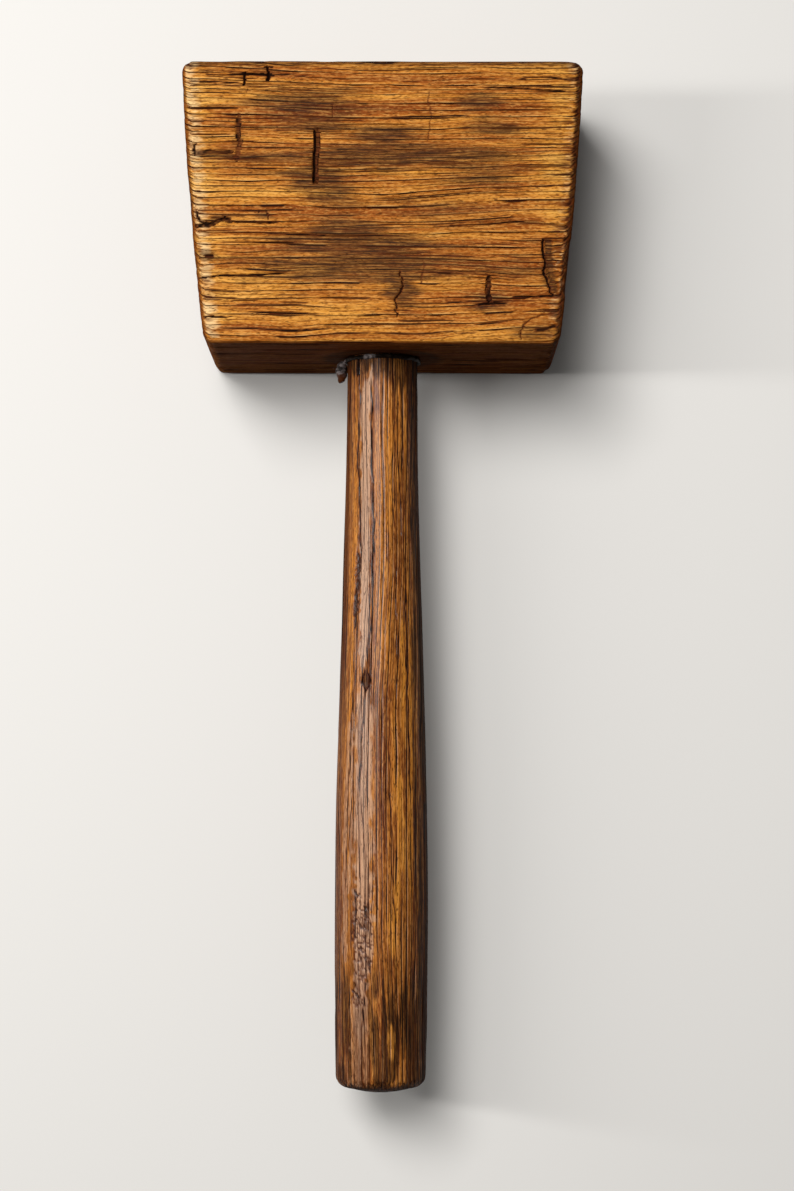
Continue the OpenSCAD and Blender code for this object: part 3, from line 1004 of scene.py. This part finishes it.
def wood(name, finish, film, ring, length, crisp, tones, late, pale, lip, line, pore, deep, grime, worn):
    """Open-grained wood on its grain coordinates: bands of colour, growth rings that end in a dark line,
    open lines at every other ring, hair lines between, a painted highlight on the ledge outside the lines,
    fibres, pores, rays in its end grain, deeper colour where it has soaked up oil and where shade is
    painted, dirt with painted shade, worn places with painted highlights, and cracks. Film is how much
    varnish is left where no dirt or painted shade is, length stretches the fibres along the grain, and
    crisp is how much they show."""
    material, tree, shader = new_material(name, finish)
    grain = add(tree, "Attribute", out="Vector", attribute_name="grain")
    soaked, rubbed, bared, soot, crack = stored_values(tree, "soaked", "rubbed", "worn", "soot", "crack")
    out = add(tree, "SeparateXYZ", grain, out="Y")
    presence = pattern(tree, grain, (30 * length, 0.9 * ring, 12))
    bands = pattern(tree, grain, (70, 3, 8), 4, 0.6)
    fibres = pattern(tree, grain, (11 * length, 0.34, 0.4), 3, 0.65)
    specks = pattern(tree, grain, (1.7 * length, 0.36, 0.36))

    late_share = summed(tree, 0, (add(tree, "MapRange", across_ring(tree, out, ring), 0.35, 1),
                                  add(tree, "MapRange", presence, 0.35, 0.6, 0.1, 0.5)))
    broken = summed(tree, 0, (specks, 0.5), (fibres, 0.5))
    rays = add(tree, "MapRange", pattern(tree, grain, (60, 16, 0.8), 1), 0.5, 0.66, 0, 0.6)
    hair_run = add(tree, "MapRange", pattern(tree, grain, (9 * length, 0.8, 4), 1), 0.46, 0.58)
    open_run = add(tree, "MapRange", pattern(tree, grain, (13 * length, 2, 6), 1), 0.46, 0.62)
    hair = growth_lines(tree, out, ring / 2, 0.17, hair_run)[0]
    closed, near_closed = growth_lines(tree, out, ring, 0.34, add(tree, "MapRange", presence, 0.4, 0.56))
    opened, near_opened = growth_lines(tree, out, 2 * ring, 0.48, open_run)
    ledge = summed(tree, 0, (near_opened, 0.5), (near_closed, 0.3))
    pores = add(tree, "MapRange", pattern(tree, grain, (2.2, 0.32, 0.32), 1), 0.38, 0.31)
    # Dirt, with painted shade in it
    dirt = patchy(tree, soot, pattern(tree, grain, (11, 0.7, 2), 4, 0.7), 0.68, 1.22)

    base = add(tree, "ValToRGB", summed(tree, bands, (rubbed, 0.14)), stops=tones)
    base = layered(tree, base, [
        (late_share, 1, late),
        (add(tree, "MapRange", fibres, 0.5, 0.33), crisp, late),
        (add(tree, "MapRange", fibres, 0.52, 0.68), crisp, pale),
        (add(tree, "MapRange", specks, 0.5, 0.33), 0.55, late),
        (add(tree, "MapRange", specks, 0.52, 0.68), 0.35, pale),
        # Worn places, with painted highlights and sheen
        (patchy(tree, bared, broken, 0.8, 1.3), 0.75, worn),
        # Oil-soaked end grain, with painted shade
        (soaked, 0.8, deep),
        (rays, soaked, tones[0][1]),
        # A painted highlight on the ledge just outside each line
        (ledge, summed(tree, 1, (soaked, -1)), lip),
        (hair, 0.7, late),
        (closed, 0.9, line),
        (opened, 1, line),
        (pores, 0.7, pore),
        (dirt, add(tree, "MapRange", fibres, 0.36, 0.6, 1, 0.5), grime),
        (add(tree, "MapRange", crack, 0, 0.5), 0.75, "#5a2812"),
        (add(tree, "MapRange", crack, 0.5, 0.9), 0.97, "#160905"),
    ])
    relief = summed(tree, 1, (fibres, 0.3), (closed, -0.7), (opened, -1.1), (hair, -0.3),
                    (late_share, -0.3), (pores, -0.28))
    dress(tree, shader, base, relief, 1, 0.26)
    rough = summed(tree, 0.48, (closed, 0.2), (soaked, 0.3), (crack, 0.2))
    tree.links.new(rough, shader.inputs["Roughness"])
    if film:
        covered = add(tree, "Math", soaked, soot, operation="MAXIMUM")
        tree.links.new(add(tree, "MapRange", covered, 0, 0.9, film, 0.03), shader.inputs["Coat Weight"])
    return material


def oiled_oak():
    """Oak, planed by hand, oiled and worn by long use. Open pores and dark growth lines run along it. It is
    golden where it is rubbed, grey-brown where dirt has got in, and darker on its end grain. Highlights
    are painted along its left edge and beside its lines, and shade on its underside, at its right edge
    and in its split."""
    return wood(
        "oiled_oak", {"IOR": 1.5, "Specular IOR Level": 0.03},
        film=0, ring=HEAD_RING, length=1, crisp=0.55,
        tones=[(0.32, "#843f12"), (0.45, "#a95c1d"), (0.57, "#c27728"), (0.7, "#dd9539"),
               (0.84, "#efae4f")],
        late="#6c310c", pale="#e9ac5c", lip="#ebb266", line="#2c0f04", pore="#542a0c", deep="#5e2709",
        grime="#392316", worn="#fad69c")


def varnished_ash():
    """Ash, turned and varnished, then darkened by hands. Bold light and dark streaks run along it under a
    thin glossy film, which is worn away where dirt has got in and where shade is painted. Its pale
    streaks are mostly a painted sheen, and painted shade darkens its edges, its right side and the top
    of its neck."""
    finish = {"IOR": 1.5, "Specular IOR Level": 0.06, "Coat Roughness": 0.24, "Coat IOR": 1.42}
    return wood(
        "varnished_ash", finish, film=0.34, ring=HANDLE_RING, length=1.8, crisp=0.6,
        tones=[(0.32, "#662c0f"), (0.45, "#8e4b18"), (0.57, "#b26a25"), (0.7, "#cf7f2b"),
               (0.85, "#de9034")],
        late="#4c2009", pale="#dd9b52", lip="#d9a077", line="#220c05", pore="#3c1a07", deep="#3a1508",
        grime="#20130c", worn="#cba588")


def dark_wedge_wood():
    """Walnut, riven and driven in. Only its end grain shows at the crown: fine dark pores."""
    material, tree, shader = new_material("dark_wedge_wood", {"Roughness": 0.55, "Specular IOR Level": 0.1})
    where = in_mm(tree)
    pores = pattern(tree, where, (0.35, 20, 0.35))
    base = add(tree, "ValToRGB", pattern(tree, where, (2.2, 40, 0.9), 3),
               stops=[(0.32, "#3a2012"), (0.52, "#5b3520"), (0.7, "#7a4c2c")])
    base = layered(tree, base, [(add(tree, "MapRange", pores, 0.42, 0.32), 0.8, "#1f1009")])
    dress(tree, shader, base, pores, 0.5, 0.1)
    return material


def hide_glue():
    """Hide glue, squeezed out, hardened and gone dark: a glassy brown skin with grey-white on top, which
    is bloom and a painted highlight, and amber at the thin end of its drip."""
    material, tree, shader = new_material("hide_glue", {"Roughness": 0.4, "Specular IOR Level": 0.06})
    where = in_mm(tree)
    mottle = pattern(tree, where, (1.8, 1.2, 1.8), 4, 0.65)
    amber, bloom = stored_values(tree, "amber", "bloom")
    base = add(tree, "ValToRGB", mottle, stops=[(0.36, "#0d0805"), (0.55, "#1a100a"), (0.7, "#2e1f15")])
    base = layered(tree, base, [
        (amber, 1, "#4f270d"),
        (bloom, add(tree, "MapRange", mottle, 0.44, 0.62, 0.1, 0.9), "#9a8d8a"),
    ])
    dress(tree, shader, base, pattern(tree, where, (0.6, 0.6, 0.6)), 0.4, 0.2)
    return material


def studio_floor():
    """Matt painted board. It looks pale to the camera and in gloss, but throws little light back up."""
    material, tree, shader = new_material("studio_floor", {"Roughness": 0.9, "Specular IOR Level": 0.1})
    ray = add(tree, "LightPath").node.outputs
    seen = add(tree, "Math", ray["Is Camera Ray"], ray["Is Glossy Ray"], operation="MAXIMUM")
    seen = add(tree, "Math", seen, ray["Is Transmission Ray"], operation="MAXIMUM")
    tone = add(tree, "Mix", seen, colour("#3c3b3a"), colour("#e6e3de"), data_type="RGBA")
    tree.links.new(tone, shader.inputs["Base Color"])
    return material


# Stage

# The middle of the mallet, in metres
LAMP_TARGET = (0, -0.1, 0.03)


def add_camera():
    lens = bpy.data.cameras.new("photo_lens")
    lens.sensor_fit = "VERTICAL"
    lens.sensor_height = 24
    lens.lens = FOCAL_PX / PHOTO_H * lens.sensor_height
    lens.clip_end = 20
    camera = bpy.data.objects.new("photo_camera", lens)
    camera.location = [value * MM for value in CAMERA_AT]
    camera.rotation_euler = (math.radians(CAMERA_TILT), 0, math.radians(CAMERA_ROLL))
    bpy.context.collection.objects.link(camera)
    bpy.context.scene.camera = camera


def add_lamp(name, place, size, watts):
    """A softbox that faces the mallet. Its place and size are in metres."""
    lamp = bpy.data.lights.new(name, "AREA")
    lamp.shape = "RECTANGLE"
    lamp.size, lamp.size_y = size
    lamp.energy = watts
    holder = bpy.data.objects.new(name, lamp)
    holder.location = place
    holder.rotation_euler = (Vector(LAMP_TARGET) - Vector(place)).to_track_quat("-Z", "Y").to_euler()
    bpy.context.collection.objects.link(holder)


def add_stage():
    deselect()
    bpy.ops.mesh.primitive_plane_add(size=6, location=(0, 0, 0))
    floor = named("floor")
    floor.data.materials.append(studio_floor())
    world = bpy.data.worlds.new("studio")
    world.use_nodes = True
    background = world.node_tree.nodes["Background"].inputs
    background["Color"].default_value = colour("#ffffff")
    background["Strength"].default_value = 0.1
    bpy.context.scene.world = world
    add_lamp("skylight", (-0.36, 0.3, 1.36), (0.5, 0.8), 18.5)
    add_lamp("window", (-1.05, -0.05, 0.85), (0.09, 0.9), 6.5)
    bpy.context.scene.view_settings.view_transform = "Standard"


def give_material(piece, material):
    piece.data.materials.clear()
    piece.data.materials.append(material)


def finish_piece(piece, node, material):
    """Gives a finished piece its material and its shading, puts it under the root body, and hides the CAD
    part that it stands for.
    """
    give_material(piece, material)
    take(piece)
    bpy.ops.object.shade_smooth_by_angle(angle=math.radians(SMOOTH_ANGLE))
    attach(piece, "root")
    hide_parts(node)


add_camera()
add_stage()
finish_piece(head(), "head", oiled_oak())
finish_piece(handle(), "handle", varnished_ash())
finish_piece(glue(), "glue_bead", hide_glue())
wedge_wood = dark_wedge_wood()
for name in ("wedge_left", "wedge_right"):
    give_material(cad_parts[name], wedge_wood)
